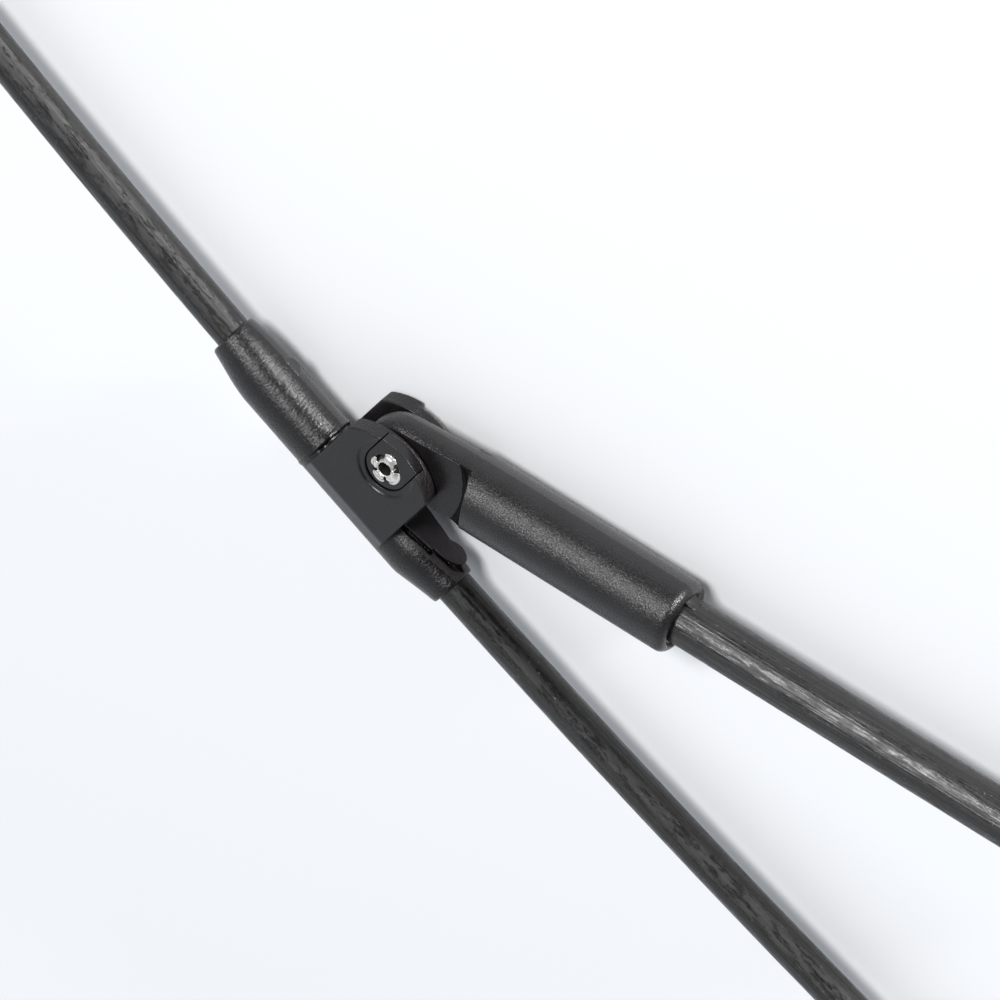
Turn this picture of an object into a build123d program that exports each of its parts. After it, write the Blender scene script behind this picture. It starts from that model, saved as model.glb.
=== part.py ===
from build123d import *
import math
import os

# Rib-and-stretcher joint of a fibreglass umbrella frame, in millimetres.
# Origin: centre of the hinge rivet, midway between the two cheeks.
# +X runs along the rib towards the crown of the umbrella, +Y points from the rib to the strut,
# and +Z is the hinge axis. The near cheek is the one on the +Z side.

# ---- driving dimensions -------------------------------------------------------------------

# Rib: a rod bowed in the XY plane, with its lowest point under the middle of the sleeve.
RIB_RADIUS = 1.5
RIB_OFFSET = 6.2            # from the hinge axis down to the rib's axis
RIB_BOW_RADIUS = 690.0
RIB_BOW_X = -2.6            # where the rib is parallel to X
RIB_ARC_OUTER_X = -44.0     # the bow ends here, towards the tip of the umbrella
RIB_ARC_CROWN_X = 55.0      # the bow ends here, towards the crown
RIB_END_STRAIGHT = 12.0     # straight length at each end
ROD_CHAMFER = 0.15

# Strut: a straight rod, its axis passing slightly above the hinge axis.
STRUT_RADIUS = 2.0
STRUT_ANGLE = 24.5          # degrees from +X at rest
STRUT_RISE = 0.33
STRUT_INNER_END = 9.5
STRUT_OUTER_END = 66.0

# Sleeve of the rib joint.
SLEEVE_RADIUS = 2.5
SLEEVE_AXIS_Y = -6.4        # set a little off the rib's axis, so the back wall is the thicker one
# round sections of the sleeve: (x, radius, y of the centre)
NOSE_SECTIONS = [(-15.6, 1.8, -6.19), (-15.53, 1.91, -6.19), (-15.4, 1.98, -6.19),
                 (-14.9, 2.07, -6.2), (-14.3, 2.17, -6.21), (-13.7, 2.27, -6.24),
                 (-13.1, 2.36, -6.28), (-12.5, 2.43, -6.32), (-11.9, 2.475, -6.36),
                 (-11.3, SLEEVE_RADIUS, SLEEVE_AXIS_Y)]
CROWN_SECTIONS = [(6.0, SLEEVE_RADIUS, SLEEVE_AXIS_Y), (6.5, 2.46, -6.39), (7.0, 2.37, -6.37),
                  (8.0, 2.18, -6.33), (9.0, 2.01, -6.28), (10.0, 1.88, -6.2),
                  (10.13, 1.83, -6.2), (10.2, 1.74, -6.2)]
COLLAR_X = -4.85            # thin collar beside the nose side of the cheeks
COLLAR_WIDTH = 0.25
COLLAR_RADIUS = 2.57
PAD_X = -10.65              # small half-round pad on the far side of the parting line
PAD_RADIUS = 0.85
PAD_TOP_Y = -3.88
PARTING_Z = -0.3

# Clevis.
NEAR_FACE_Z = 2.875
FAR_FACE_Z = -2.85
CHEEK_INNER_Z = 1.4
CHEEK_NOSE_X = -4.2
CHEEK_CROWN_X = 4.1
CHEEK_FOOT_Y = -5.95        # the outer faces end here
CHEEK_FOOT_ROUND = 0.9
RIM_RADIUS = 5.57
RIM_CENTRE = (0.3, -3.19)
RIM_CORNER = 0.7
GAP_FLOOR_Y = -3.75         # floor of the slot between the cheeks
GROOVE_WIDTH = 0.35         # undercut between the cheeks and the collar
GROOVE_RADIUS = 2.12
GROOVE_DEPTH_Y = -5.1       # the undercut goes round the sleeve down to here

# Round recess and U-shaped keeper in each cheek.
RECESS_RADIUS = 2.5
RECESS_DEPTH = 0.125
KEEPER_RADIUS = 1.77
KEEPER_HALF_WIDTH = 1.86
KEEPER_CENTRE_X = 0.05
KEEPER_SIDE_GAP = 0.07
KEEPER_TOE_GAP = 0.2
KEEPER_FLOOR_Z = 1.75
KEEPER_SINK_RADIUS = 1.25   # countersink under the split star
KEEPER_SINK_DEPTH = 0.3
FAR_KEEPER_SINK = 0.55      # the far keeper sits deeper than its cheek's face

NEAR_KEEPER_Z = NEAR_FACE_Z - RECESS_DEPTH
FAR_KEEPER_Z = FAR_FACE_Z + FAR_KEEPER_SINK

# Hinge rivet.
RIVET_RADIUS = 0.95
RIVET_HOLE_RADIUS = 0.575
RIVET_SEAT_GAP = 0.02
PETAL_COUNT = 6
PETAL_RADIUS = 1.35
PETAL_THICK = 0.3
PETAL_SLOT = 0.22
FLANGE_RADIUS = 1.45
FLANGE_THICK = 0.3
HINGE_RUNNING_GAP = 0.05

# Tie finger: a strip along the top of the sleeve with a narrower free tip.
FINGER_TOP_Y = -3.98
FINGER_ROOT_HALF = 1.45
FINGER_SHOULDER_HALF = 1.05
FINGER_ROOT_X = 4.4
FINGER_SHOULDER_X = 7.05
FINGER_THICK = 1.2
FINGER_TIP_THICK = 0.5
FINGER_NECK = (6.65, 0.58, -1.0)    # x, and the tip's two sides where it leaves the strip
FINGER_LOBE = [(7.5, -1.12), (8.15, -1.4), (9.3, -1.0), (9.45, -0.5), (9.1, 0.1)]    # (x, z)
# undercut along the finger's near side, as (x, z) points, between two heights
UNDERCUT_PLAN = [(4.1, 1.62), (4.5, 1.62), (7.25, 1.22), (7.25, 0.92), (9.3, 0.5), (9.9, 0.0),
                 (9.7, -0.4), (9.0, 0.0), (6.95, 0.4), (6.95, 0.8), (4.5, 1.15), (4.1, 1.15)]
UNDERCUT_LOW_Y = -4.72
UNDERCUT_HIGH_Y = -4.15

# Socket of the strut.
SOCKET_RADIUS = 3.1
SOCKET_INNER_END = 4.0      # the round body starts here, inside the tongue
SOCKET_MOUTH = 26.0
BORE_SPARE = 0.5            # empty depth past the rod's inner end
SOCKET_MOUTH_ROUND = 0.8
MOUTH_BEVEL = 0.25
TONGUE_HALF_THICK = 1.3
TONGUE_TOP = 3.2            # crowned top, at the middle and at the two edges
TONGUE_TOP_EDGE = 2.66
TONGUE_BOTTOM = -2.8
TONGUE_BOTTOM_EDGE = -2.5
STEP_RADIUS = 7.15          # the tongue widens to the full socket at this distance
STEP_FILLET = 1.0

# Glue.
GLUE_FILM = 0.12
BORE_GAP = 0.03
RIB_GLUE_START_X = -9.5
RIB_GLUE_END_X = 5.5
STRUT_GLUE_START = 10.5
GLUE_BEAD_ROOT = 0.5        # how far the bead reaches back into the mouth
GLUE_BEAD_LENGTH = 0.8
GLUE_BEAD_HALF_ANGLE = 16.0


# ---- helpers ------------------------------------------------------------------------------

def bow_point(x, lift=0.0):
    """A point of the rib's bowed axis, moved `lift` towards +Y along the radius."""
    angle = math.asin((x - RIB_BOW_X) / RIB_BOW_RADIUS)
    radius = RIB_BOW_RADIUS - lift
    return (RIB_BOW_X + radius * math.sin(angle),
            RIB_BOW_RADIUS - RIB_OFFSET - radius * math.cos(angle), 0)


def bowed_tube(start_x, end_x, radius):
    """A round bar along the rib's bow."""
    middle_x = (start_x + end_x) / 2
    path = ThreePointArc(bow_point(start_x), bow_point(middle_x), bow_point(end_x))
    plane = Plane(origin=path @ 0, z_dir=path % 0)
    return sweep(plane * Circle(radius), path=path)


def turned(points, axis_y):
    """A solid of revolution about the line y = axis_y, z = 0, from (x, radius) points."""
    ends = [(points[0][0], 0)] + points + [(points[-1][0], 0)]
    outline = make_face(Polyline([(x, r) for x, r in ends], close=True))
    return Pos(0, axis_y, 0) * revolve(outline, Axis.X)


def bar_z(radius, z_low, z_high, x=0.0, y=0.0):
    """A round bar along Z."""
    bar = Cylinder(radius, z_high - z_low, align=(Align.CENTER, Align.CENTER, Align.MIN))
    return Pos(x, y, z_low) * bar


def bar_x(radius, x_low, x_high, y):
    """A round bar along X."""
    bar = Cylinder(radius, x_high - x_low, align=(Align.CENTER, Align.CENTER, Align.MIN))
    return Pos(x_low, y, 0) * Rot(0, 90, 0) * bar


def slab(outline, z_low, z_high):
    """An XY outline raised from z_low to z_high."""
    return Pos(0, 0, z_low) * extrude(outline, z_high - z_low)


def block(x_low, x_high, y_low, y_high, z_low, z_high):
    """A rectangular block between two corners."""
    size = (x_high - x_low, y_high - y_low, z_high - z_low)
    return Pos(x_low, y_low, z_low) * Box(*size, align=(Align.MIN, Align.MIN, Align.MIN))


def swing(shape):
    """Turn a piece of the strut side from the +X direction to its rest angle."""
    return Rot(0, 0, STRUT_ANGLE) * shape


# ---- rib side -----------------------------------------------------------------------------

def make_rib_rod():
    """The bowed fibreglass rib with two straight ends."""
    arc = ThreePointArc(bow_point(RIB_ARC_OUTER_X), bow_point(RIB_BOW_X), bow_point(RIB_ARC_CROWN_X))
    outer_run = Edge.make_line((arc @ 0) - (arc % 0) * RIB_END_STRAIGHT, arc @ 0)
    crown_run = Edge.make_line(arc @ 1, (arc @ 1) + (arc % 1) * RIB_END_STRAIGHT)
    path = Wire([outer_run, arc.edge(), crown_run])
    rod = sweep(Plane(origin=path @ 0, z_dir=path % 0) * Circle(RIB_RADIUS), path=path)
    ends = [rod.edges().sort_by(Axis.X)[0], rod.edges().sort_by(Axis.X)[-1]]
    return chamfer(ends, ROD_CHAMFER)


def sleeve_body():
    """The outside of the sleeve, from nose to crown end, with its collar and pad."""
    rings = [Plane(origin=(x, y, 0), z_dir=(1, 0, 0)) * Circle(radius)
             for x, radius, y in NOSE_SECTIONS + CROWN_SECTIONS]
    collar = bar_x(COLLAR_RADIUS, COLLAR_X, COLLAR_X + COLLAR_WIDTH, SLEEVE_AXIS_Y)
    pad = Pos(PAD_X, PAD_TOP_Y, PARTING_Z) * Rot(90, 0, 0) * Cylinder(
        PAD_RADIUS, 1.0, align=(Align.CENTER, Align.CENTER, Align.MIN))
    pad &= block(-20, 0, -9, 0, -5, PARTING_Z)
    above_finger = block(CHEEK_CROWN_X, 20, FINGER_TOP_Y, 0, -5, 5)
    return loft(rings, ruled=True) + collar + pad - above_finger


def cheek_outline():
    """Side view of a cheek: straight ends under an arched rim."""
    ends = Pos((CHEEK_NOSE_X + CHEEK_CROWN_X) / 2, 0) * Rectangle(CHEEK_CROWN_X - CHEEK_NOSE_X, 20)
    outline = ends & (Pos(*RIM_CENTRE) * Circle(RIM_RADIUS))
    corners = outline.vertices().sort_by(Axis.Y)[-2:]
    return fillet(corners, RIM_CORNER)


def clevis_foot(face_z):
    """One side of the clevis block below the cheek, from its face down to the sleeve's back."""
    centre_y = SLEEVE_AXIS_Y
    drop = CHEEK_FOOT_Y - centre_y
    tangent = math.atan2(drop, face_z) - math.acos(SLEEVE_RADIUS / math.hypot(drop, face_z))
    touch = (SLEEVE_RADIUS * math.cos(tangent), centre_y + SLEEVE_RADIUS * math.sin(tangent))
    section = make_face(Polyline((0, centre_y), touch, (face_z, CHEEK_FOOT_Y),
                                 (face_z, GAP_FLOOR_Y), (0, GAP_FLOOR_Y), close=True))
    corner = section.vertices().sort_by_distance((face_z, CHEEK_FOOT_Y, 0))[0]
    section = fillet(corner, CHEEK_FOOT_ROUND)
    plane = Plane(origin=(CHEEK_NOSE_X, 0, 0), x_dir=(0, 0, 1), z_dir=(-1, 0, 0))
    return extrude(plane * section, CHEEK_NOSE_X - CHEEK_CROWN_X)


def clevis_body():
    """Two cheeks, the floor between them and the soft edge into the sleeve."""
    above_floor = Pos(0, GAP_FLOOR_Y) * Rectangle(20, 10, align=(Align.CENTER, Align.MIN))
    upper = cheek_outline() & above_floor
    near = slab(upper, CHEEK_INNER_Z, NEAR_FACE_Z)
    far = slab(upper, FAR_FACE_Z, -CHEEK_INNER_Z)
    feet = clevis_foot(NEAR_FACE_Z) + mirror(clevis_foot(-FAR_FACE_Z), Plane.XY)
    return feet + near + far


def clevis_groove():
    """The undercut between the nose side of the cheeks and the sleeve's collar."""
    ring = bar_x(4.5, CHEEK_NOSE_X - GROOVE_WIDTH, CHEEK_NOSE_X, SLEEVE_AXIS_Y)
    core = bar_x(GROOVE_RADIUS, CHEEK_NOSE_X - 1, CHEEK_NOSE_X + 1, SLEEVE_AXIS_Y)
    upper = block(CHEEK_NOSE_X - 2, CHEEK_NOSE_X + 2, GROOVE_DEPTH_Y, 5, -6, 6)
    return (ring - core) & upper


def tie_finger():
    """The strip that the canopy is tied to, with its narrower, lobed free tip."""
    root_x = CHEEK_CROWN_X - 0.5
    side = [(root_x, FINGER_ROOT_HALF), (FINGER_ROOT_X, FINGER_ROOT_HALF),
            (FINGER_SHOULDER_X, FINGER_SHOULDER_HALF)]
    other_side = [(x, -half) for x, half in reversed(side)]
    strip_plan = make_face(Polyline(side + other_side, close=True))
    neck_x, near_side, far_side = FINGER_NECK
    lobe = Spline([(neck_x, far_side)] + FINGER_LOBE + [(neck_x, near_side)])
    tip_plan = make_face([lobe, Line((neck_x, near_side), (neck_x, far_side))])
    level = Plane(origin=(0, FINGER_TOP_Y, 0), x_dir=(1, 0, 0), z_dir=(0, 1, 0))
    strip = extrude(level * mirror(strip_plan, Plane.XZ), -FINGER_THICK)
    tip = extrude(level * mirror(tip_plan, Plane.XZ), -FINGER_TIP_THICK)
    return strip + tip


def finger_undercut():
    """The groove that runs below the near edge of the finger."""
    level = Plane(origin=(0, UNDERCUT_LOW_Y, 0), x_dir=(1, 0, 0), z_dir=(0, 1, 0))
    plan = make_face(Polyline([(x, -z) for x, z in UNDERCUT_PLAN], close=True))
    return extrude(level * plan, UNDERCUT_HIGH_Y - UNDERCUT_LOW_Y)


def keeper_outline(grow=0.0, toe=0.0):
    """U shape round the rivet, open to the rim; `grow` widens it and `toe` deepens its round end."""
    half = KEEPER_HALF_WIDTH + grow
    round_end = Ellipse(half, KEEPER_RADIUS + grow + toe)
    legs = Pos(0, 2) * Rectangle(2 * half, 4)
    return Pos(KEEPER_CENTRE_X, 0) * (round_end + legs)


def make_rib_joint():
    """Sleeve, clevis and tie finger in one moulding."""
    body = sleeve_body() + clevis_body() + tie_finger() - clevis_groove() - finger_undercut()
    nose_end_x = NOSE_SECTIONS[0][0]
    crown_end_x = CROWN_SECTIONS[-1][0]
    body -= bowed_tube(nose_end_x - 1, crown_end_x + 1, RIB_RADIUS + BORE_GAP)
    body -= bowed_tube(RIB_GLUE_START_X, RIB_GLUE_END_X, RIB_RADIUS + GLUE_FILM)
    body -= bar_z(RIVET_RADIUS + RIVET_SEAT_GAP, -4, 4)
    pocket = keeper_outline(KEEPER_SIDE_GAP, KEEPER_TOE_GAP)
    body -= slab(pocket, KEEPER_FLOOR_Z, 4)
    body -= slab(pocket, -4, -KEEPER_FLOOR_Z)
    return body - bar_z(RECESS_RADIUS, NEAR_KEEPER_Z, 4)


def make_keeper(z_low, z_high):
    """The U-shaped insert that the rivet is clinched against."""
    plate = slab(keeper_outline() & cheek_outline(), z_low, z_high)
    return plate - bar_z(RIVET_RADIUS + RIVET_SEAT_GAP, -4, 4)


def make_near_keeper():
    """The near insert, countersunk where the rivet's star folds over."""
    sink = Cone(RIVET_RADIUS, KEEPER_SINK_RADIUS, KEEPER_SINK_DEPTH,
                align=(Align.CENTER, Align.CENTER, Align.MAX))
    return make_keeper(KEEPER_FLOOR_Z, NEAR_KEEPER_Z) - Pos(0, 0, NEAR_KEEPER_Z) * sink


def make_hinge_rivet():
    """Hollow rivet: rolled flange on the far side, split star on the near side."""
    barrel = bar_z(RIVET_RADIUS, FAR_KEEPER_Z - FLANGE_THICK, NEAR_KEEPER_Z + PETAL_THICK)
    flange = bar_z(FLANGE_RADIUS, FAR_KEEPER_Z - FLANGE_THICK, FAR_KEEPER_Z)
    flange = chamfer(flange.edges().sort_by(Axis.Z)[0], FLANGE_THICK * 0.5)
    star = bar_z(PETAL_RADIUS, NEAR_KEEPER_Z, NEAR_KEEPER_Z + PETAL_THICK)
    star = chamfer(star.edges().sort_by(Axis.Z)[-1], PETAL_THICK * 0.5)
    for petal in range(PETAL_COUNT):
        slot = block(RIVET_RADIUS, PETAL_RADIUS + 1, -PETAL_SLOT / 2, PETAL_SLOT / 2,
                     NEAR_KEEPER_Z - 1, NEAR_KEEPER_Z + 1)
        star -= Rot(0, 0, petal * 360 / PETAL_COUNT) * slot
    return barrel + flange + star - bar_z(RIVET_HOLE_RADIUS, -5, 5)


def make_rib_adhesive():
    """Glue film that fills the pocket between the rib and the sleeve."""
    film = bowed_tube(RIB_GLUE_START_X, RIB_GLUE_END_X, RIB_RADIUS + GLUE_FILM)
    return film - bowed_tube(RIB_GLUE_START_X - 1, RIB_GLUE_END_X + 1, RIB_RADIUS)


# ---- strut side ---------------------------------------------------------------------------

def tongue_section(top, top_edge, bottom, bottom_edge):
    """Cross-section of the tongue in (z, y): flat sides, crowned top and bottom."""
    half = TONGUE_HALF_THICK
    return make_face([ThreePointArc((-half, top_edge), (0, top), (half, top_edge)),
                      Line((half, top_edge), (half, bottom_edge)),
                      ThreePointArc((half, bottom_edge), (0, bottom), (-half, bottom_edge)),
                      Line((-half, bottom_edge), (-half, top_edge))])


def tongue():
    """The pivot tongue: it grows from a round end about the hinge into the socket's barrel."""
    half = TONGUE_HALF_THICK
    edge = math.sqrt(SOCKET_RADIUS ** 2 - half ** 2)
    at_hinge = tongue_section(TONGUE_TOP, TONGUE_TOP_EDGE, TONGUE_BOTTOM, TONGUE_BOTTOM_EDGE)
    at_socket = tongue_section(STRUT_RISE + SOCKET_RADIUS, STRUT_RISE + edge,
                               STRUT_RISE - SOCKET_RADIUS, STRUT_RISE - edge)
    hinge_plane = Plane(origin=(0, 0, 0), x_dir=(0, 0, 1), z_dir=(-1, 0, 0))
    socket_plane = Plane(origin=(STEP_RADIUS, 0, 0), x_dir=(0, 0, 1), z_dir=(-1, 0, 0))
    bar = loft([hinge_plane * at_hinge, socket_plane * at_socket], ruled=True)
    rim = make_face([ThreePointArc((TONGUE_TOP_EDGE, -half), (TONGUE_TOP, 0), (TONGUE_TOP_EDGE, half)),
                     Polyline((TONGUE_TOP_EDGE, half), (0, half), (0, -half), (TONGUE_TOP_EDGE, -half))])
    return bar + revolve(Plane.XZ * rim, Axis.Z)


def side_cut():
    """The round-bottomed clearance on the near side of the tongue, about the hinge axis."""
    cutter = bar_z(STEP_RADIUS, TONGUE_HALF_THICK, SOCKET_RADIUS + 1)
    return fillet(cutter.edges().sort_by(Axis.Z)[0], STEP_FILLET)


def make_strut_socket():
    """Round socket for the strut rod with the pivot tongue at its inner end."""
    barrel = bar_x(SOCKET_RADIUS, SOCKET_INNER_END, SOCKET_MOUTH, STRUT_RISE)
    barrel = fillet(barrel.edges().sort_by(Axis.X)[-1], SOCKET_MOUTH_ROUND)
    near_cut = side_cut()
    tongue_space = block(0, STEP_RADIUS, -9, 9, -TONGUE_HALF_THICK, TONGUE_HALF_THICK)
    body = barrel - near_cut - mirror(near_cut, Plane.XY) - tongue_space + tongue()
    bore_radius = STRUT_RADIUS + GLUE_FILM
    body -= bar_x(bore_radius, STRUT_INNER_END - BORE_SPARE, SOCKET_MOUTH + 1, STRUT_RISE)
    body -= turned([(SOCKET_MOUTH - MOUTH_BEVEL, bore_radius),
                    (SOCKET_MOUTH + MOUTH_BEVEL, bore_radius + 2 * MOUTH_BEVEL)], STRUT_RISE)
    return swing(body - bar_z(RIVET_RADIUS + HINGE_RUNNING_GAP, -4, 4))


def make_strut_rod():
    """The straight fibreglass strut."""
    rod = bar_x(STRUT_RADIUS, STRUT_INNER_END, STRUT_OUTER_END, STRUT_RISE)
    return swing(chamfer(rod.edges().filter_by(GeomType.CIRCLE), ROD_CHAMFER))


def make_strut_adhesive():
    """Glue film in the socket and the bead squeezed out on top of the rod at the mouth."""
    film_radius = STRUT_RADIUS + GLUE_FILM
    film_end = SOCKET_MOUTH - MOUTH_BEVEL
    film = bar_x(film_radius, STRUT_GLUE_START, film_end, STRUT_RISE)
    film -= bar_x(STRUT_RADIUS, 0, STRUT_OUTER_END, STRUT_RISE)
    bead_side = make_face(Polyline((SOCKET_MOUTH - GLUE_BEAD_ROOT, STRUT_RADIUS),
                                   (SOCKET_MOUTH - GLUE_BEAD_ROOT, film_radius),
                                   (film_end, film_radius),
                                   (SOCKET_MOUTH, film_radius + MOUTH_BEVEL),
                                   (SOCKET_MOUTH + GLUE_BEAD_LENGTH, STRUT_RADIUS), close=True))
    bead = revolve(bead_side, Axis.X, 2 * GLUE_BEAD_HALF_ANGLE)
    bead = Pos(0, STRUT_RISE, 0) * Rot(-GLUE_BEAD_HALF_ANGLE, 0, 0) * bead
    return swing(film + bead)


# ---- the pieces ---------------------------------------------------------------------------

os.makedirs("parts", exist_ok=True)

pieces = {
    "rib_rod": make_rib_rod(),
    "rib_joint": make_rib_joint(),
    "near_keeper": make_near_keeper(),
    "far_keeper": make_keeper(FAR_KEEPER_Z, -KEEPER_FLOOR_Z),
    "hinge_rivet": make_hinge_rivet(),
    "rib_adhesive": make_rib_adhesive(),
    "strut_socket": make_strut_socket(),
    "strut_rod": make_strut_rod(),
    "strut_adhesive": make_strut_adhesive(),
}

for name, shape in pieces.items():
    export_step(shape, "parts/" + name + ".step")
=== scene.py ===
import math

import bpy
import numpy as np
from mathutils import Matrix, Vector, noise


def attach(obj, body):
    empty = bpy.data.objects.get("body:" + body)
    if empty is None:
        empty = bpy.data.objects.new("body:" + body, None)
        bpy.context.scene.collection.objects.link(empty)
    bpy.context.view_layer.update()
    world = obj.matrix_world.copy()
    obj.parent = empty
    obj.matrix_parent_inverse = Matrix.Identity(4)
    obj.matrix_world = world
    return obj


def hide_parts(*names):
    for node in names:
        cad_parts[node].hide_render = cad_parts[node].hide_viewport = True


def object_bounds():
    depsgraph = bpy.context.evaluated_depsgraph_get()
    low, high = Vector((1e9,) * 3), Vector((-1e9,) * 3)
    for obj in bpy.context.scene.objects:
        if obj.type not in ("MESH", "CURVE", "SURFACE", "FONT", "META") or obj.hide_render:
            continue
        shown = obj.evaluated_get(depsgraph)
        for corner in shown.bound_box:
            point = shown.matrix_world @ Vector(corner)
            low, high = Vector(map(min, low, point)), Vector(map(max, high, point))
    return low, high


# Rib-and-stretcher joint of a fibreglass umbrella frame. Lengths are in millimetres and are
# turned into metres by MM where a mesh is made.

MM = 0.001
STRUT_ANGLE = math.radians(24.5)    # the strut's direction at rest, from +X

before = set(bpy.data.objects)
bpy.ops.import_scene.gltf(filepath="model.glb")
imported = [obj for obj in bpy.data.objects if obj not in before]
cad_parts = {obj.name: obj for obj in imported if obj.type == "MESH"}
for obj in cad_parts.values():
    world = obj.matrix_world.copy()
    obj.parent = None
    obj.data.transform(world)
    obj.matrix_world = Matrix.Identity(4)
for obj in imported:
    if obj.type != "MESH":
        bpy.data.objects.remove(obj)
cad_low, cad_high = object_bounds()
RIB_SIDE, STRUT_SIDE = "rib_side", "strut_side"


# ---- camera -------------------------------------------------------------------------------

CAMERA_TILT = math.radians(48)      # between the hinge axis and the line of sight
CAMERA_ROLL = math.radians(48.8)
CAMERA_DISTANCE = 640.0
VIEW_WIDTH = 76.336                 # what the square picture spans at the object
AIM_RIGHT = 7.176                   # the picture's centre, from the hinge
AIM_UP = -3.756
SENSOR = 36.0


def add_camera():
    """A long lens looking down at the hinge, rolled so that the rib falls to the lower right."""
    along_rib = Vector((1, 0, 0))
    across = Vector((0, math.cos(CAMERA_TILT), -math.sin(CAMERA_TILT)))
    back = along_rib.cross(across)
    right = math.cos(CAMERA_ROLL) * along_rib + math.sin(CAMERA_ROLL) * across
    up = math.cos(CAMERA_ROLL) * across - math.sin(CAMERA_ROLL) * along_rib
    aim = right * AIM_RIGHT + up * AIM_UP
    data = bpy.data.cameras.new("camera")
    data.sensor_width = SENSOR
    data.lens = SENSOR * CAMERA_DISTANCE / VIEW_WIDTH
    data.clip_start = 0.01
    data.clip_end = 50
    camera = bpy.data.objects.new("camera", data)
    bpy.context.scene.collection.objects.link(camera)
    turn = Matrix((right, up, back)).transposed().to_4x4()
    camera.matrix_world = Matrix.Translation((aim + back * CAMERA_DISTANCE) * MM) @ turn
    bpy.context.scene.camera = camera


# ---- light and floor ----------------------------------------------------------------------

LIGHT_DISTANCE = 1.5                # metres, as are the soft boxes' sizes
SURROUND_BRIGHT_Y = -0.8            # the surround dims between these two directions
SURROUND_DARK_Y = 0.6
SURROUND_BRIGHT = 0.95
SURROUND_DARK = 0.08


def add_area_light(name, direction, width, height, power):
    """A soft box at that direction from the hinge, facing it."""
    data = bpy.data.lights.new(name, "AREA")
    data.shape = "RECTANGLE"
    data.size = width
    data.size_y = height
    data.energy = power
    light = bpy.data.objects.new(name, data)
    bpy.context.scene.collection.objects.link(light)
    towards = Vector(direction).normalized()
    light.location = towards * LIGHT_DISTANCE
    light.rotation_mode = "QUATERNION"
    light.rotation_quaternion = towards.to_track_quat("Z", "Y")
    light.visible_camera = False


def add_lights():
    """A soft box to the camera's left, a low one on the strut's side, and a surround dimmer to +Y."""
    add_area_light("softbox_main", (-0.40, 0.45, 0.80), width=0.5, height=0.5, power=19.0)
    add_area_light("softbox_low", (0.24, 0.97, 0.045), width=0.26, height=0.08, power=30.0)
    world = bpy.data.worlds.new("surround")
    world.use_nodes = True
    tree = world.node_tree
    background = tree.nodes["Background"]
    background.inputs["Color"].default_value = (0.90, 0.95, 1.0, 1)
    where = tree.nodes.new("ShaderNodeTexCoord")
    parts = tree.nodes.new("ShaderNodeSeparateXYZ")
    tree.links.new(where.outputs["Generated"], parts.inputs["Vector"])
    shade = tree.nodes.new("ShaderNodeMapRange")
    shade.inputs["From Min"].default_value = SURROUND_BRIGHT_Y
    shade.inputs["From Max"].default_value = SURROUND_DARK_Y
    shade.inputs["To Min"].default_value = SURROUND_BRIGHT
    shade.inputs["To Max"].default_value = SURROUND_DARK
    tree.links.new(parts.outputs["Y"], shade.inputs["Value"])
    tree.links.new(shade.outputs["Result"], background.inputs["Strength"])
    bpy.context.scene.world = world
    bpy.context.scene.view_settings.view_transform = "Standard"


FLOOR_HALF = 3.0                    # metres


def add_floor():
    """A plain pale floor under the lowest point of the object."""
    mesh = bpy.data.meshes.new("floor")
    corners = [(x * FLOOR_HALF, y * FLOOR_HALF, cad_low.z)
               for x, y in ((-1, -1), (1, -1), (1, 1), (-1, 1))]
    mesh.from_pydata(corners, [], [(0, 1, 2, 3)])
    floor = bpy.data.objects.new("floor", mesh)
    bpy.context.scene.collection.objects.link(floor)
    look = Look("floor_pale", (0.86, 0.865, 0.88), roughness=0.7)
    mesh.materials.append(look.material)


# ---- materials ----------------------------------------------------------------------------

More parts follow.
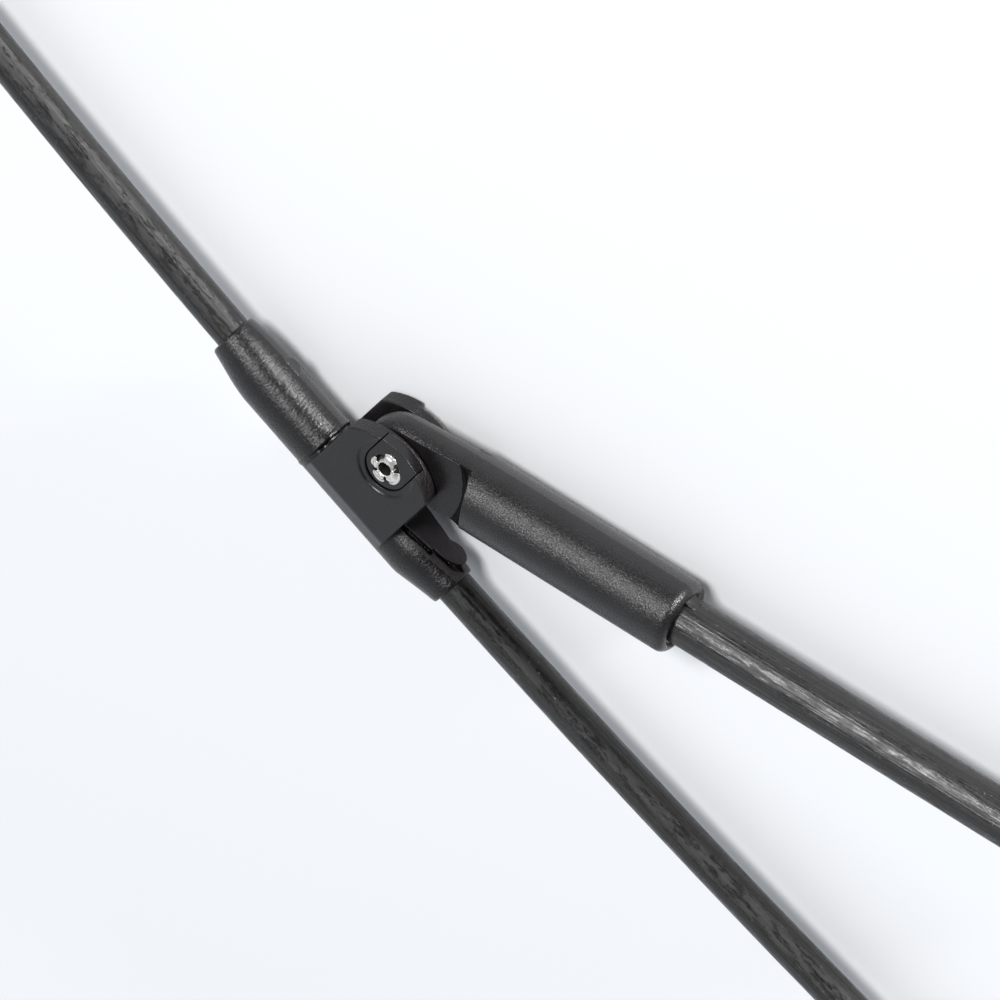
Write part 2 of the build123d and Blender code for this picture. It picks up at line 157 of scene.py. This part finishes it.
class Look:
    """A material and the few node shapes that the looks below are made of."""

    def __init__(self, name, colour, roughness, metallic=0.0, specular=0.5):
        self.material = bpy.data.materials.new(name)
        self.material.use_nodes = True
        self.tree = self.material.node_tree
        self.shader = self.tree.nodes["Principled BSDF"]
        self.shader.inputs["Base Color"].default_value = (*colour, 1)
        self.shader.inputs["Roughness"].default_value = roughness
        self.shader.inputs["Metallic"].default_value = metallic
        self.shader.inputs["Specular IOR Level"].default_value = specular
        self.bump = None

    def link(self, value, socket):
        """Join a node's output to a socket, or set the socket to a plain value."""
        if isinstance(value, bpy.types.NodeSocket):
            self.tree.links.new(value, socket)
        else:
            socket.default_value = value

    def node(self, kind, **inputs):
        made = self.tree.nodes.new(kind)
        for name, value in inputs.items():
            self.link(value, made.inputs[name.replace("_", " ")])
        return made

    def place(self, scale, angle=0.0):
        """Object coordinates in millimetres, turned by -angle about Z, then scaled per axis."""
        where = self.tree.nodes.new("ShaderNodeTexCoord").outputs["Object"]
        turned = self.node("ShaderNodeVectorRotate", Vector=where, Angle=-angle)
        turned.rotation_type = "Z_AXIS"
        mapping = self.node("ShaderNodeMapping", Vector=turned.outputs["Vector"])
        mapping.inputs["Scale"].default_value = [s / MM for s in scale]
        return mapping.outputs["Vector"]

    def strand_place(self, scale):
        """The rods' own coordinates, straight along the rod, scaled per axis."""
        where = self.tree.nodes.new("ShaderNodeAttribute")
        where.attribute_name = "strand"
        mapping = self.node("ShaderNodeMapping", Vector=where.outputs["Vector"])
        mapping.inputs["Scale"].default_value = scale
        return mapping.outputs["Vector"]

    def noise(self, vector, detail=2.0, roughness=0.5, distortion=0.0):
        made = self.node("ShaderNodeTexNoise", Vector=vector, Scale=1.0, Detail=detail,
                         Roughness=roughness, Distortion=distortion)
        return made.outputs["Fac"]

    def spread(self, value, low, high, to_low=0.0, to_high=1.0):
        """Stretch the part of a value between low and high over to_low to to_high."""
        made = self.node("ShaderNodeMapRange", Value=value, From_Min=low, From_Max=high,
                         To_Min=to_low, To_Max=to_high)
        return made.outputs["Result"]

    def maths(self, operation, a, b):
        made = self.tree.nodes.new("ShaderNodeMath")
        made.operation = operation
        self.link(a, made.inputs[0])
        self.link(b, made.inputs[1])
        return made.outputs["Value"]

    def mix(self, share, a, b):
        """Colours a and b mixed by share."""
        made = self.tree.nodes.new("ShaderNodeMix")
        made.data_type = "RGBA"
        self.link(share, made.inputs["Factor"])
        for colour, socket in ((a, made.inputs[6]), (b, made.inputs[7])):
            self.link(colour if isinstance(colour, bpy.types.NodeSocket) else (*colour, 1), socket)
        return made.outputs[2]

    def colour(self, value):
        self.link(value, self.shader.inputs["Base Color"])

    def roughness(self, value):
        self.link(value, self.shader.inputs["Roughness"])

    def raise_by(self, height, distance):
        """Add a bump of that many millimetres."""
        made = self.node("ShaderNodeBump", Strength=1.0, Distance=distance * MM, Height=height)
        if self.bump:
            self.link(self.bump, made.inputs["Normal"])
        self.bump = made.outputs["Normal"]
        self.link(self.bump, self.shader.inputs["Normal"])


NYLON_DARK = (0.0052, 0.0043, 0.0047)
NYLON_LIGHT = (0.0085, 0.007, 0.0078)


def nylon_look(name, grain, grain_height, angle=0.0, rough=0.25, pale=1.0, specular=0.52):
    """Black moulded nylon. grain is the texture's fineness along, up and across, per millimetre.

    grain_height is in millimetres, angle is the moulding's direction, and pale scales the colour.
    """
    look = Look(name, (0.02, 0.02, 0.02), roughness=rough, specular=specular)
    cloud = look.noise(look.place((0.5, 0.5, 0.5), angle), detail=3.0)
    fine = look.noise(look.place(grain, angle), detail=3.0, roughness=0.65)
    dark = [channel * pale for channel in NYLON_DARK]
    light = [channel * pale for channel in NYLON_LIGHT]
    look.colour(look.mix(look.spread(cloud, 0.3, 0.7), dark, light))
    look.roughness(look.spread(fine, 0.3, 0.7, rough - 0.06, rough + 0.1))
    look.raise_by(fine, grain_height)
    return look.material


def fibreglass_look(name):
    """Black pultruded fibreglass: broken gloss streaks, dull patches and a few specks of dust."""
    look = Look(name, (0.012, 0.011, 0.011), roughness=0.25, specular=0.5)
    strands = look.noise(look.strand_place((0.05, 5.0, 5.0)), detail=3.0, roughness=0.6)
    hairs = look.noise(look.strand_place((0.3, 13.0, 13.0)), detail=3.0, roughness=0.6)
    dull = look.noise(look.strand_place((0.5, 2.2, 2.2)), detail=5.0, roughness=0.7)
    pits = look.noise(look.strand_place((2.5, 8.0, 8.0)), detail=3.0, roughness=0.7)
    dust = look.noise(look.strand_place((4.0, 5.0, 5.0)), detail=2.0)
    speck = look.spread(dust, 0.71, 0.76)
    dark = look.mix(look.spread(strands, 0.35, 0.65), (0.005, 0.0045, 0.0045), (0.024, 0.0225, 0.022))
    look.colour(look.mix(speck, dark, (0.15, 0.145, 0.14)))
    worn = look.spread(dull, 0.42, 0.62, 0.16, 0.5)
    look.roughness(look.maths("ADD", worn, look.spread(pits, 0.35, 0.65, -0.06, 0.12)))
    look.raise_by(strands, 0.05)
    look.raise_by(hairs, 0.018)
    look.raise_by(pits, 0.006)
    return look.material


def nickel_look(name):
    """Nickel plate, dented by the riveting tool."""
    look = Look(name, (0.78, 0.76, 0.72), roughness=0.28, metallic=1.0)
    dents = look.noise(look.place((2.6, 2.6, 2.6)), detail=3.0)
    stain = look.noise(look.place((1.6, 1.6, 1.6)), detail=4.0, roughness=0.7)
    look.colour(look.mix(look.spread(stain, 0.45, 0.75), (0.80, 0.78, 0.74), (0.42, 0.40, 0.37)))
    look.roughness(look.spread(stain, 0.3, 0.7, 0.2, 0.42))
    look.raise_by(dents, 0.05)
    return look.material


def glue_look(name):
    """Cured black glue, glossy and lumpy."""
    look = Look(name, (0.012, 0.011, 0.011), roughness=0.22)
    lumps = look.noise(look.place((3.0, 3.0, 3.0)), detail=3.0)
    look.roughness(look.spread(lumps, 0.3, 0.7, 0.15, 0.45))
    look.raise_by(lumps, 0.05)
    return look.material


# ---- piece helpers ------------------------------------------------------------------------

def add_piece(name, mesh, body, materials, nodes=()):
    """Put a mesh into the scene as a piece of a body, standing for those CAD nodes."""
    piece = bpy.data.objects.new(name, mesh)
    bpy.context.scene.collection.objects.link(piece)
    mesh.materials.clear()
    for material in materials:
        mesh.materials.append(material)
    mesh.polygons.foreach_set("use_smooth", [True] * len(mesh.polygons))
    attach(piece, body)
    if nodes:
        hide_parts(*nodes)
    return piece


WELD_DISTANCE = 0.0005


def softened(node, voxel, rounding, share):
    """A CAD node's shape as a moulding, with soft edges.

    It is remeshed at that voxel size and smoothed that many times, and keeps that share of its faces.
    """
    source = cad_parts[node]
    work = bpy.data.objects.new("work", source.data.copy())
    bpy.context.scene.collection.objects.link(work)
    weld = work.modifiers.new("weld", "WELD")
    weld.merge_threshold = WELD_DISTANCE * MM
    remesh = work.modifiers.new("remesh", "REMESH")
    remesh.mode = "VOXEL"
    remesh.voxel_size = voxel * MM
    smooth = work.modifiers.new("smooth", "SMOOTH")
    smooth.factor = 0.5
    smooth.iterations = rounding
    thin = work.modifiers.new("thin", "DECIMATE")
    thin.ratio = share
    graph = bpy.context.evaluated_depsgraph_get()
    mesh = bpy.data.meshes.new_from_object(work.evaluated_get(graph))
    bpy.data.objects.remove(work)
    return mesh


def face_vectors(mesh, kind):
    """The "center" or the "normal" of every face, as an array."""
    values = np.zeros(len(mesh.polygons) * 3)
    mesh.polygons.foreach_get(kind, values)
    return values.reshape(-1, 3)


def choose_materials(mesh, conditions, slots):
    """Give each face the material of the first condition that it meets, or else the first material."""
    index = np.select(conditions, slots, 0)
    mesh.polygons.foreach_set("material_index", index.astype(np.int32))


# ---- mouldings ----------------------------------------------------------------------------

MOULDING_VOXEL = 0.06
MOULDING_ROUNDING = 4
MOULDING_SHARE = 0.24
KEEPER_VOXEL = 0.04
KEEPER_ROUNDING = 2
KEEPER_SHARE = 0.5

PARTING_Z = -0.3                    # where the two halves of the moulds met
CLEVIS_HALF = 4.35                  # how far the cheeks reach along the rib from the hinge
FINGER_X = 4.2                      # the finger starts here
FINGER_Y = -4.6                     # and lies above this
FINGER_LEAN = 0.6                   # its grained faces lean at least this much towards +Y or -Y
RIM_CENTRE = (0.3, -3.19)
RIM_RADIUS = 5.57
RIM_SKIN = 0.12                     # how far inside that radius a face still counts as the rim
RIM_Y = -3.6                        # the rim lies above this
RIM_LEAN = 0.5                      # and its faces lean less than this towards +Z or -Z
STEP_RADIUS = 7.15                  # the tongue ends this far from the hinge
STEP_SKIN = 0.02
CORNER_WIDTH = 1.05                 # the corner painted as shade, with a barely reflecting material, reaches this far in from the step
TONGUE_TOP_Z = 1.2                  # above this is the tongue's near face


def add_rib_joint(sleeve, coarse_grain_painted_light, plain, far_half, rim_look):
    """The rib's moulding: grained sleeve, coarser rim and finger, the finger's paler colour painted
    light, smoother cheeks, glossier far half.
    """
    mesh = softened("rib_joint", MOULDING_VOXEL, MOULDING_ROUNDING, MOULDING_SHARE)
    add_piece("rib_joint_moulding", mesh, RIB_SIDE,
              [sleeve, coarse_grain_painted_light, plain, far_half, rim_look], ["rib_joint"])
    x, y, z = face_vectors(mesh, "center").T / MM
    lean = np.abs(face_vectors(mesh, "normal"))
    reach = np.hypot(x - RIM_CENTRE[0], y - RIM_CENTRE[1])
    # the finger's faces, whose paler colour is painted light
    finger = (x > FINGER_X) & (y > FINGER_Y) & (lean[:, 1] > FINGER_LEAN)
    rim = (reach > RIM_RADIUS - RIM_SKIN) & (y > RIM_Y) & (lean[:, 2] < RIM_LEAN)
    clevis = np.abs(x) < CLEVIS_HALF
    choose_materials(mesh, [finger, rim, clevis, z < PARTING_Z], [1, 4, 2, 3])


def add_strut_socket(barrel, corner, tongue, barrel_far):
    """The strut's moulding: grained barrel, smoother tongue that shines less as painted shade, glossier
    far half.

    The corner between tongue and barrel hardly shines, in place of a shadow that this light lacks.
    """
    mesh = softened("strut_socket", MOULDING_VOXEL, MOULDING_ROUNDING, MOULDING_SHARE)
    add_piece("strut_socket_moulding", mesh, STRUT_SIDE,
              [barrel, corner, tongue, barrel_far], ["strut_socket"])
    x, y, z = face_vectors(mesh, "center").T / MM
    reach = np.hypot(x, y)
    # the tongue's near face: its lower gloss is painted shade from the near cheek
    top = (reach < STEP_RADIUS - STEP_SKIN) & (z > TONGUE_TOP_Z)
    # the corner beside the step: painted shade
    step = top & (reach > STEP_RADIUS - CORNER_WIDTH)
    choose_materials(mesh, [step, top, z < PARTING_Z], [1, 2, 3])


def add_mouldings():
    sleeve = nylon_look("nylon_sleeve", (6.5, 3.2, 3.2), 0.06)
    # the finger's coarse grain is its own; its paler colour is painted light, for light that the scene
    # lacks there
    coarse_grain_painted_light = nylon_look("nylon_coarse_grain_painted_light", (1.6, 4.2, 4.2), 0.12, rough=0.45, pale=3.6)
    rim = nylon_look("nylon_rim", (4.5, 4.5, 4.5), 0.1, rough=0.38, pale=1.4, specular=0.32)
    plain = nylon_look("nylon_plain", (5.0, 5.0, 5.0), 0.014, rough=0.3, specular=0.46)
    far_half = nylon_look("nylon_far_half", (4.0, 3.0, 3.0), 0.02, specular=1.0)
    barrel = nylon_look("nylon_barrel", (6.5, 6.5, 6.5), 0.05, STRUT_ANGLE)
    barrel_far = nylon_look("nylon_barrel_far", (6.5, 6.5, 6.5), 0.03, STRUT_ANGLE, specular=1.0)
    # painted shade: the corner barely reflects, in place of the shadow between tongue and barrel
    corner = nylon_look("nylon_painted_shade_corner", (5.0, 5.0, 5.0), 0.02, STRUT_ANGLE, specular=0.03)
    # painted shade: the tongue's near face shines less, for the near cheek's shadow on it
    tongue = nylon_look("nylon_tongue_painted_shade", (5.0, 5.0, 5.0), 0.02, STRUT_ANGLE, specular=0.36)
    insert = nylon_look("nylon_insert", (6.0, 6.0, 6.0), 0.014, specular=0.44)
    add_rib_joint(sleeve, coarse_grain_painted_light, plain, far_half, rim)
    add_strut_socket(barrel, corner, tongue, barrel_far)
    for keeper in ("near_keeper", "far_keeper"):
        mesh = softened(keeper, KEEPER_VOXEL, KEEPER_ROUNDING, KEEPER_SHARE)
        add_piece(keeper + "_insert", mesh, RIB_SIDE, [insert], [keeper])


# ---- rods ---------------------------------------------------------------------------------

RIB_RADIUS = 1.5
RIB_OFFSET = 6.2                    # the bow's lowest point lies this far below the hinge
RIB_BOW_RADIUS = 690.0
RIB_BOW_X = -2.6
RIB_ARC_OUTER_X = -44.0
RIB_ARC_CROWN_X = 55.0
RIB_ARC_OUTER_ANGLE = math.asin((RIB_ARC_OUTER_X - RIB_BOW_X) / RIB_BOW_RADIUS)
RIB_ARC_CROWN_ANGLE = math.asin((RIB_ARC_CROWN_X - RIB_BOW_X) / RIB_BOW_RADIUS)
RIB_END_STRAIGHT = 12.0
RIB_WAVINESS = 0.02
STRUT_RADIUS = 2.0
STRUT_RISE = 0.33                   # between the strut's axis and the hinge
STRUT_INNER_END = 9.5
STRUT_OUTER_END = 66.0
STRUT_WAVINESS = 0.03
ROD_CHAMFER = 0.15
ROD_SIDES = 96
RING_SPACING = 0.45
WAVE_FINENESS = (0.09, 1.7)         # along the rod and around it
RIPPLE_FINENESS = (0.2, 5)
WAVE_SHARE = 0.5
RIPPLE_SHARE = 0.3


def rib_line(s):
    """Point and direction of the rib's axis at distance s from the bow's lowest point."""
    angle = min(max(s / RIB_BOW_RADIUS, RIB_ARC_OUTER_ANGLE), RIB_ARC_CROWN_ANGLE)
    direction = Vector((math.cos(angle), math.sin(angle), 0))
    arc_end = Vector((RIB_BOW_X + RIB_BOW_RADIUS * math.sin(angle),
                      RIB_BOW_RADIUS * (1 - math.cos(angle)) - RIB_OFFSET, 0))
    return arc_end + direction * (s - angle * RIB_BOW_RADIUS), direction


def strut_line(s):
    """Point and direction of the strut's axis at distance s from the hinge."""
    direction = Vector((math.cos(STRUT_ANGLE), math.sin(STRUT_ANGLE), 0))
    side = Vector((-direction.y, direction.x, 0))
    return direction * s + side * STRUT_RISE, direction


def surface_noise(s, turn, fineness):
    """Noise at a place on a rod's surface, s along it and turn around it."""
    along, around = fineness
    return noise.noise(Vector((s * along, math.cos(turn) * around, math.sin(turn) * around)))


def rod_mesh(name, line, start, end, radius, waviness):
    """A rod whose surface is drawn in by long shallow waves, as pultruded strands leave it."""
    rings = int((end - start) / RING_SPACING)
    stations = [start, start + ROD_CHAMFER]
    stations += [start + (end - start) * i / rings for i in range(1, rings)]
    stations += [end - ROD_CHAMFER, end]
    verts = []
    strand = []
    for s in stations:
        point, direction = line(s)
        up = Vector((-direction.y, direction.x, 0))
        trim = ROD_CHAMFER if s in (start, end) else 0.0
        for i in range(ROD_SIDES):
            turn = 2 * math.pi * i / ROD_SIDES
            across = up * math.cos(turn) + Vector((0, 0, 1)) * math.sin(turn)
            wave = surface_noise(s, turn, WAVE_FINENESS)
            ripple = surface_noise(s, turn, RIPPLE_FINENESS)
            depth = waviness * (WAVE_SHARE - WAVE_SHARE * wave + RIPPLE_SHARE - RIPPLE_SHARE * ripple)
            verts.append((point + across * (radius - trim - depth)) * MM)
            strand.append((s, radius * math.cos(turn), radius * math.sin(turn)))
    faces = []
    for j in range(len(stations) - 1):
        for i in range(ROD_SIDES):
            k = (i + 1) % ROD_SIDES
            low = j * ROD_SIDES
            high = low + ROD_SIDES
            faces.append((low + i, high + i, high + k, low + k))
    last = (len(stations) - 1) * ROD_SIDES
    faces.append(tuple(range(ROD_SIDES)))
    faces.append(tuple(reversed(range(last, last + ROD_SIDES))))
    mesh = bpy.data.meshes.new(name)
    mesh.from_pydata(verts, [], faces)
    mesh.validate()
    coordinates = mesh.attributes.new("strand", "FLOAT_VECTOR", "POINT")
    coordinates.data.foreach_set("vector", [value for point in strand for value in point])
    return mesh


def add_rods():
    gloss = fibreglass_look("fibreglass")
    outer_end = RIB_BOW_RADIUS * RIB_ARC_OUTER_ANGLE - RIB_END_STRAIGHT
    crown_end = RIB_BOW_RADIUS * RIB_ARC_CROWN_ANGLE + RIB_END_STRAIGHT
    rib = rod_mesh("rib_rod_strands", rib_line, outer_end, crown_end, RIB_RADIUS, RIB_WAVINESS)
    add_piece("rib_rod_strands", rib, RIB_SIDE, [gloss], ["rib_rod"])
    strut = rod_mesh("strut_rod_strands", strut_line, STRUT_INNER_END, STRUT_OUTER_END,
                     STRUT_RADIUS, STRUT_WAVINESS)
    add_piece("strut_rod_strands", strut, STRUT_SIDE, [gloss], ["strut_rod"])


# ---- rivet --------------------------------------------------------------------------------

RIVET_HOLE = 0.575
RIVET_SHANK = 0.95
# the shank as (radius, z), from the bore over the near lip and down to the far side's rolled flange
RIVET_PROFILE = [(RIVET_HOLE, -2.52), (RIVET_HOLE, 2.86), (0.66, 2.92), (0.76, 2.86), (0.80, 2.7),
                 (RIVET_SHANK, 2.55), (RIVET_SHANK, -2.3), (1.3, -2.3), (1.42, -2.36), (1.44, -2.46),
                 (1.36, -2.56), (1.15, -2.6), (0.8, -2.59), (0.66, -2.57)]
RIVET_SIDES = 72
BORE_SKIN = 0.005
STAR_TOP = 3.04
# each petal of the split star: where it starts and ends, in degrees, and how far it reaches
PETALS = [(-40, 42, 1.46), (72, 130, 1.52), (176, 226, 1.3), (242, 305, 1.44)]
PETAL_STEPS_OUT = 9
PETAL_STEPS_ROUND = 12
PETAL_CORNER = 0.10                 # the share of its reach that a petal loses at its corners
PETAL_TAPER = 0.10                  # the share of its width that it loses at its tip
PETAL_CURL = 0.2                    # how far it curls down, over a half wave
PETAL_WAVE_START = 0.12             # the shares of that wave passed at the lip and from there on
PETAL_WAVE_RATE = 1.15
PETAL_EDGE_DROP = 0.05
PETAL_DENT = 0.05
PETAL_THICKNESS = 0.14
PETAL_BEVEL = 0.03


def lathe(name, profile, sides):
    """A closed ring about the hinge axis, from (radius, z) points."""
    verts = []
    for i in range(sides):
        turn = 2 * math.pi * i / sides
        verts += [(r * math.cos(turn) * MM, r * math.sin(turn) * MM, z * MM) for r, z in profile]
    count = len(profile)
    faces = []
    for i in range(sides):
        for j in range(count):
            here = i * count + j
            beside = i * count + (j + 1) % count
            around = ((i + 1) % sides) * count
            faces.append((here, around + j, around + (j + 1) % count, beside))
    mesh = bpy.data.meshes.new(name)
    mesh.from_pydata(verts, [], faces)
    return mesh


def petal_mesh(name, start, end, reach):
    """One petal, curled outwards from the hole's lip, with round corners."""
    verts = []
    for i in range(PETAL_STEPS_OUT + 1):
        out = i / PETAL_STEPS_OUT
        for j in range(PETAL_STEPS_ROUND + 1):
            share = j / PETAL_STEPS_ROUND
            edge = abs(2 * share - 1)
            tip = reach * (1 - PETAL_CORNER * edge ** 4)
            radius = RIVET_HOLE + (tip - RIVET_HOLE) * out
            narrow = 1 - PETAL_TAPER * out
            turn = math.radians((start + end) / 2 + (share - 0.5) * (end - start) * narrow)
            crown = math.sin(math.pi * min(out * PETAL_WAVE_RATE + PETAL_WAVE_START, 1.0))
            dent = PETAL_DENT * noise.noise(Vector((radius * 3, turn * 2, reach)))
            z = STAR_TOP - PETAL_CURL * (1 - crown) - PETAL_EDGE_DROP * edge ** 3 + min(dent, 0)
            verts.append((radius * math.cos(turn) * MM, radius * math.sin(turn) * MM, z * MM))
    row = PETAL_STEPS_ROUND + 1
    faces = [(i * row + j, (i + 1) * row + j, (i + 1) * row + j + 1, i * row + j + 1)
             for i in range(PETAL_STEPS_OUT) for j in range(PETAL_STEPS_ROUND)]
    mesh = bpy.data.meshes.new(name)
    mesh.from_pydata(verts, [], faces)
    return mesh


def add_rivet():
    """The hollow rivet with a dark bore, and its four petals."""
    nickel = nickel_look("nickel")
    # the bore is black, with the glue's look
    bore_black_look = glue_look("bore_black")
    mesh = lathe("rivet_shank", RIVET_PROFILE, RIVET_SIDES)
    add_piece("rivet_shank", mesh, RIB_SIDE, [nickel, bore_black_look], ["hinge_rivet"])
    x, y = face_vectors(mesh, "center").T[:2] / MM
    choose_materials(mesh, [np.hypot(x, y) < RIVET_HOLE + BORE_SKIN], [1])
    for number, (start, end, reach) in enumerate(PETALS, 1):
        name = "rivet_petal_" + str(number)
        petal = add_piece(name, petal_mesh(name, start, end, reach), RIB_SIDE, [nickel])
        thick = petal.modifiers.new("thick", "SOLIDIFY")
        thick.thickness = PETAL_THICKNESS * MM
        thick.offset = -1
        bevel = petal.modifiers.new("bevel", "BEVEL")
        bevel.width = PETAL_BEVEL * MM
        bevel.segments = 2
        bevel.limit_method = "ANGLE"


# ---- glue ---------------------------------------------------------------------------------

def add_glue():
    glue = glue_look("glue")
    for node in ("rib_adhesive", "strut_adhesive"):
        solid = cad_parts[node]
        solid.data.materials.clear()
        solid.data.materials.append(glue)


# ---- everything ---------------------------------------------------------------------------

add_camera()
add_lights()
add_floor()
add_mouldings()
add_rods()
add_rivet()
add_glue()
